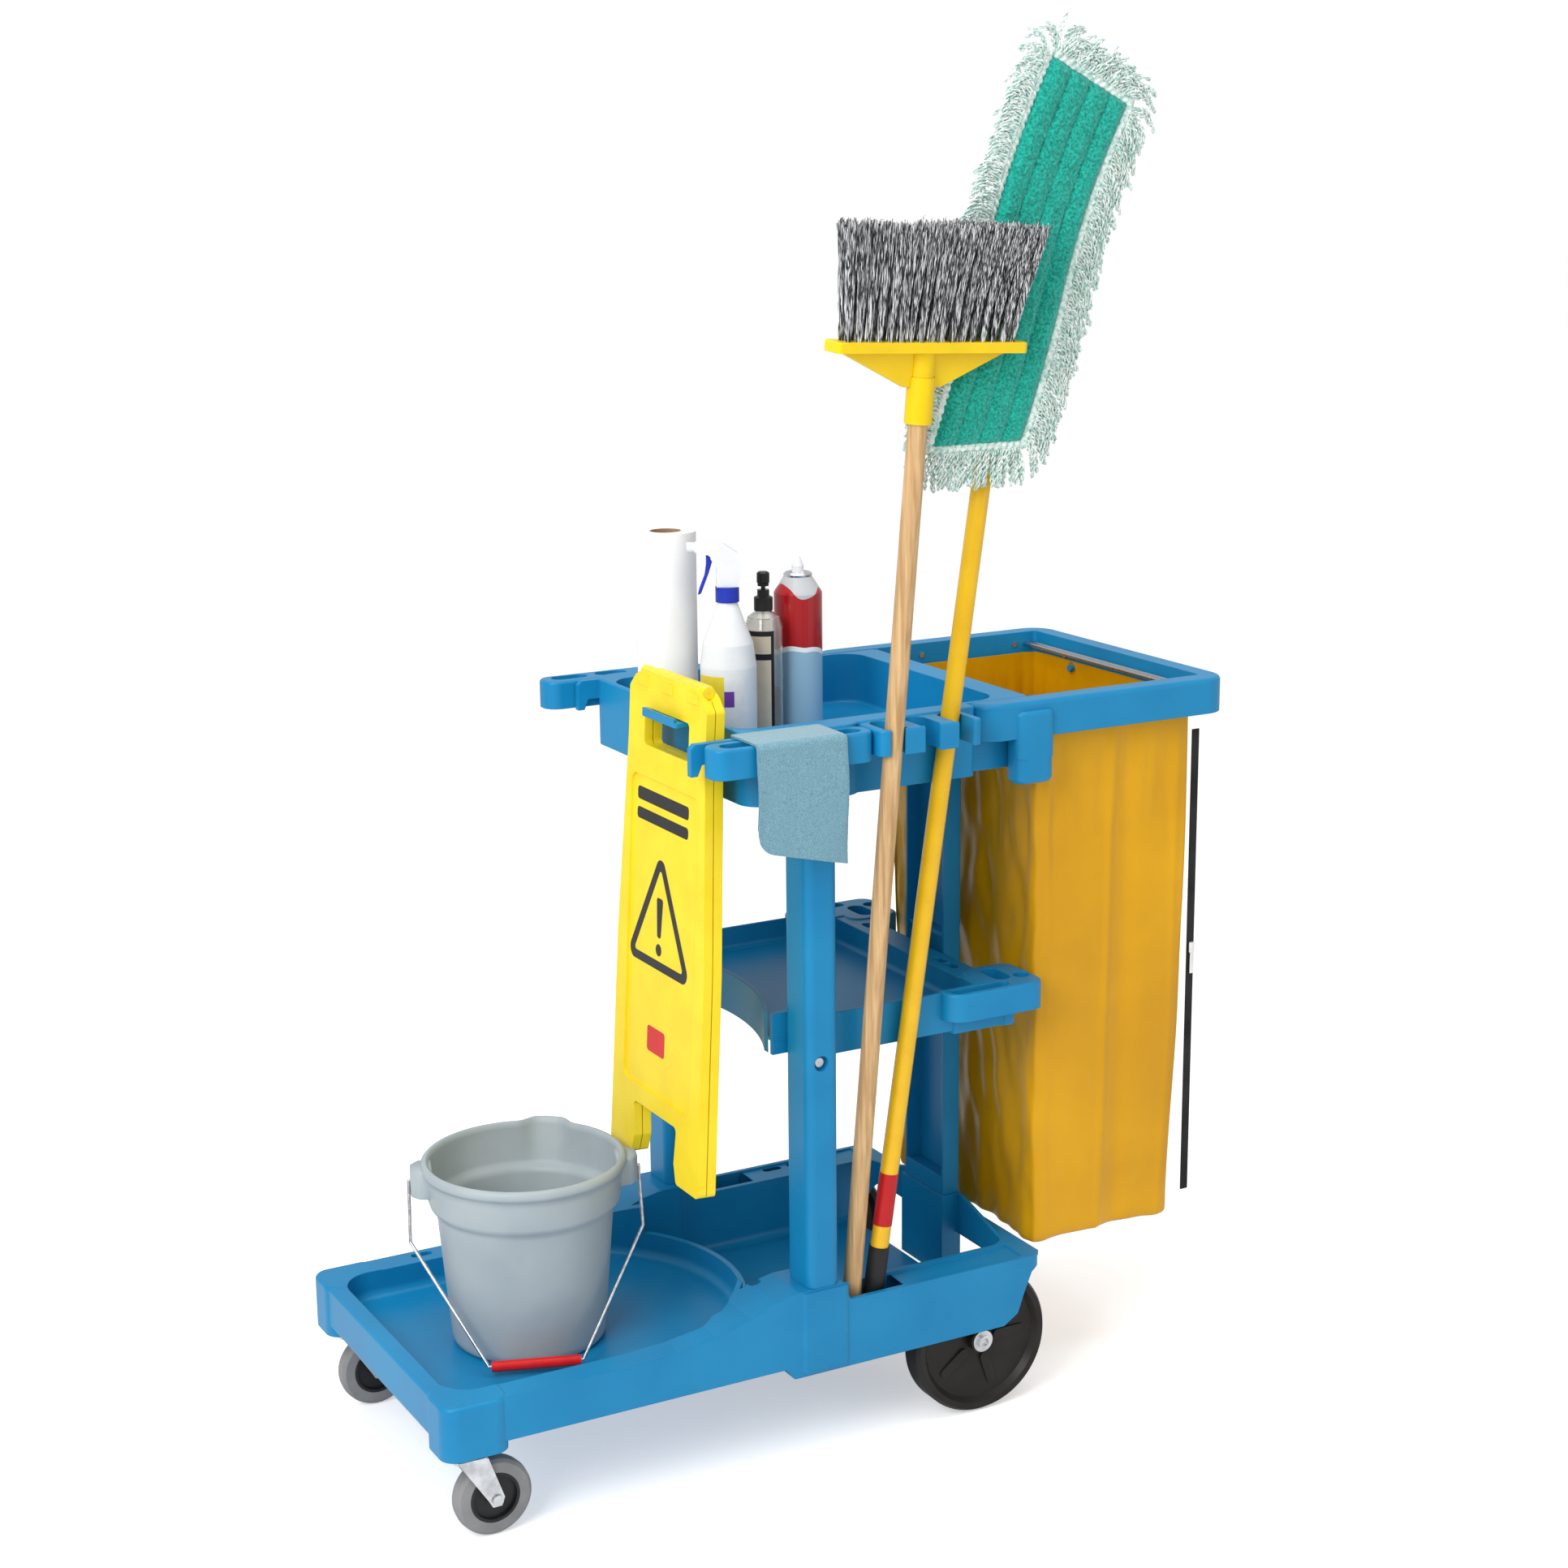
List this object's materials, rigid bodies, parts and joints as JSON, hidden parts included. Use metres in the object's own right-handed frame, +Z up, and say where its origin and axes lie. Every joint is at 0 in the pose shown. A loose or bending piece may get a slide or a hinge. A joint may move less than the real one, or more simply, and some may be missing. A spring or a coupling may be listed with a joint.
{
  "type": "cleaning cart",
  "caption": "Wheeled cleaning cart with deck, bin, shelf, tray and hung waste bag, carrying a bucket, folding floor sign, broom, dust mop and sprays.",
  "frame": {"origin": "middle of the loaded cart's footprint, on the floor", "axes": "+Z up, +X from the front deck towards the push handle and bag, -Y the side that carries the broom and mop"},
  "size_m": [1.171, 0.6212, 1.8245],
  "materials": {
    "cart_plastic": "satin moulded",
    "steel_rod": "bright wire",
    "screw_steel": "zinc plated",
    "bag_vinyl": "coated cloth, semi-gloss",
    "grommet": "nickel",
    "zipper_black": "woven tape",
    "zipper_pull": "satin",
    "wheel_black": "satin moulded",
    "caster_tyre": "matt",
    "caster_hub": "satin",
    "zinc": "zinc plated",
    "bucket_grey": "satin moulded",
    "bail_wire": "bright wire",
    "grip_red": "gloss",
    "sign_yellow": "satin moulded",
    "broom_wood": "clear lacquer",
    "broom_yellow": "satin moulded",
    "bristle_grey": "flagged filament",
    "mop_handle_yellow": "gloss",
    "grip_black": "satin",
    "band_red": "printed film",
    "mop_plastic": "satin moulded",
    "mop_teal": "loop pile",
    "mop_fringe": "looped yarn",
    "towel_paper": "embossed",
    "towel_card": "plain",
    "bottle_white": "satin",
    "trigger_blue": "satin",
    "bottle_clear": "clear",
    "liquid_amber": "liquid",
    "cap_black": "satin",
    "can_paint": "gloss print",
    "can_cup": "bright tinplate",
    "cloth_blue": "looped microfibre"
  },
  "bodies": {
    "cart": {"base_platform": "cart_plastic", "upright_near": "cart_plastic", "upright_far": "cart_plastic", "upright_screws": "screw_steel", "rear_post": "cart_plastic", "mid_shelf": "cart_plastic", "top_tray": "cart_plastic", "bag_frame": "cart_plastic", "bag_rods": "steel_rod", "frame_screws": "screw_steel", "bag": "bag_vinyl", "bag_grommets": "grommet", "zipper_tape": "zipper_black", "rear_axle": "zinc", "axle_caps": "zinc", "cloth": "cloth_blue"},
    "zipper": {"zipper_slider": "zipper_pull"},
    "caster_near": {"caster_fork_near": "zinc", "caster_axle_near": "zinc"},
    "caster_far": {"caster_fork_far": "zinc", "caster_axle_far": "zinc"},
    "caster_wheel_near": {"caster_hub_near": "caster_hub", "caster_tyre_near": "caster_tyre"},
    "caster_wheel_far": {"caster_hub_far": "caster_hub", "caster_tyre_far": "caster_tyre"},
    "rear_wheel_near": {"rear_wheel_near": "wheel_black"},
    "rear_wheel_far": {"rear_wheel_far": "wheel_black"},
    "bucket": {"bucket": "bucket_grey"},
    "bail": {"bucket_bail": "bail_wire"},
    "bail_grip": {"bail_grip": "grip_red"},
    "sign": {"sign_front_leaf": "sign_yellow", "sign_rear_leaf": "sign_yellow", "sign_hinge_pin": "sign_yellow"},
    "broom": {"broom_handle": "broom_wood", "broom_socket": "broom_yellow", "broom_head": "broom_yellow", "broom_bristles": "bristle_grey"},
    "mop": {"mop_handle": "mop_handle_yellow", "mop_grip": "grip_black", "mop_band": "band_red", "mop_yoke": "mop_plastic"},
    "mop_head": {"mop_frame": "zinc", "mop_pad": "mop_teal", "mop_fringe": "mop_fringe"},
    "towel": {"towel_roll": "towel_paper", "towel_core": "towel_card"},
    "spray": {"spray_body": "bottle_white", "spray_collar": "trigger_blue", "spray_head": "bottle_white"},
    "trigger": {"spray_trigger": "trigger_blue"},
    "mist": {"mist_body": "bottle_clear", "mist_liquid": "liquid_amber", "mist_tube": "bottle_clear", "mist_collar": "cap_black"},
    "mist_head": {"mist_head": "cap_black"},
    "can": {"can_body": "can_paint", "can_cup": "can_cup"},
    "can_actuator": {"can_actuator": "bottle_white"}
  },
  "joints": [
    {"name": "zipper_slide", "type": "slide", "parent": "cart", "child": "zipper", "axis": [0, 0, -1], "range_m": [-0.28, 0.3]},
    {"name": "caster_swivel_near", "type": "hinge", "parent": "cart", "child": "caster_near", "pos_m": [-0.547, -0.174, 0.118], "axis": [0, 0, 1], "continuous": true},
    {"name": "caster_swivel_far", "type": "hinge", "parent": "cart", "child": "caster_far", "pos_m": [-0.547, 0.238, 0.118], "axis": [0, 0, 1], "continuous": true},
    {"name": "caster_roll_near", "type": "hinge", "parent": "caster_near", "child": "caster_wheel_near", "pos_m": [-0.515, -0.174, 0.051], "axis": [0, 1, 0], "continuous": true},
    {"name": "caster_roll_far", "type": "hinge", "parent": "caster_far", "child": "caster_wheel_far", "pos_m": [-0.515, 0.238, 0.051], "axis": [0, 1, 0], "continuous": true},
    {"name": "rear_roll_near", "type": "hinge", "parent": "cart", "child": "rear_wheel_near", "pos_m": [0.191, -0.18, 0.1016], "axis": [0, 1, 0], "continuous": true},
    {"name": "rear_roll_far", "type": "hinge", "parent": "cart", "child": "rear_wheel_far", "pos_m": [0.191, 0.244, 0.1016], "axis": [0, 1, 0], "continuous": true},
    {"name": "bucket_lift", "type": "slide", "parent": "cart", "child": "bucket", "axis": [0, 0, 1], "range_m": [0, 0.3]},
    {"name": "bail_swing", "type": "hinge", "parent": "bucket", "child": "bail", "pos_m": [-0.375, 0.022, 0.38], "axis": [-0.9438, 0.3305, 0], "range_deg": [0, 150]},
    {"name": "bail_grip_spin", "type": "hinge", "parent": "bail", "child": "bail_grip", "pos_m": [-0.41532, -0.09314, 0.169], "axis": [0.9438, -0.3305, 0], "continuous": true},
    {"name": "sign_lift", "type": "slide", "parent": "cart", "child": "sign", "axis": [0, 0, 1], "range_m": [0, 0.03]},
    {"name": "broom_lift", "type": "slide", "parent": "cart", "child": "broom", "axis": [0.0406, -0.0744, 0.9964], "range_m": [0, 0.6]},
    {"name": "mop_lift", "type": "slide", "parent": "cart", "child": "mop", "axis": [0.1289, -0.0309, 0.9912], "range_m": [0, 0.55]},
    {"name": "mop_head_swing", "type": "hinge", "parent": "mop", "child": "mop_head", "pos_m": [0.206, -0.24046, 1.52871], "axis": [0, -0.9995, -0.0312], "range_deg": [0, 20]},
    {"name": "towel_lift", "type": "slide", "parent": "cart", "child": "towel", "axis": [0, 0, 1], "range_m": [0, 0.12]},
    {"name": "spray_lift", "type": "slide", "parent": "cart", "child": "spray", "axis": [0, 0, 1], "range_m": [0, 0.12]},
    {"name": "spray_trigger_pull", "type": "hinge", "parent": "spray", "child": "trigger", "pos_m": [-0.07485, 0.05372, 1.15804], "axis": [-0.4226, -0.9063, 0], "range_deg": [0, 16], "stiffness_Nm_per_rad": 0.6, "springref_deg": -11.46},
    {"name": "mist_lift", "type": "slide", "parent": "cart", "child": "mist", "axis": [0, 0, 1], "range_m": [0, 0.12]},
    {"name": "mist_head_press", "type": "slide", "parent": "mist", "child": "mist_head", "axis": [0, 0, -1], "range_m": [0, 0.0045], "stiffness_N_per_m": 900, "springref_m": -0.003},
    {"name": "can_lift", "type": "slide", "parent": "cart", "child": "can", "axis": [0, 0, 1], "range_m": [0, 0.12]},
    {"name": "can_press", "type": "slide", "parent": "can", "child": "can_actuator", "axis": [0, 0, -1], "range_m": [0, 0.0015], "stiffness_N_per_m": 2500, "springref_m": -0.001}
  ]
}
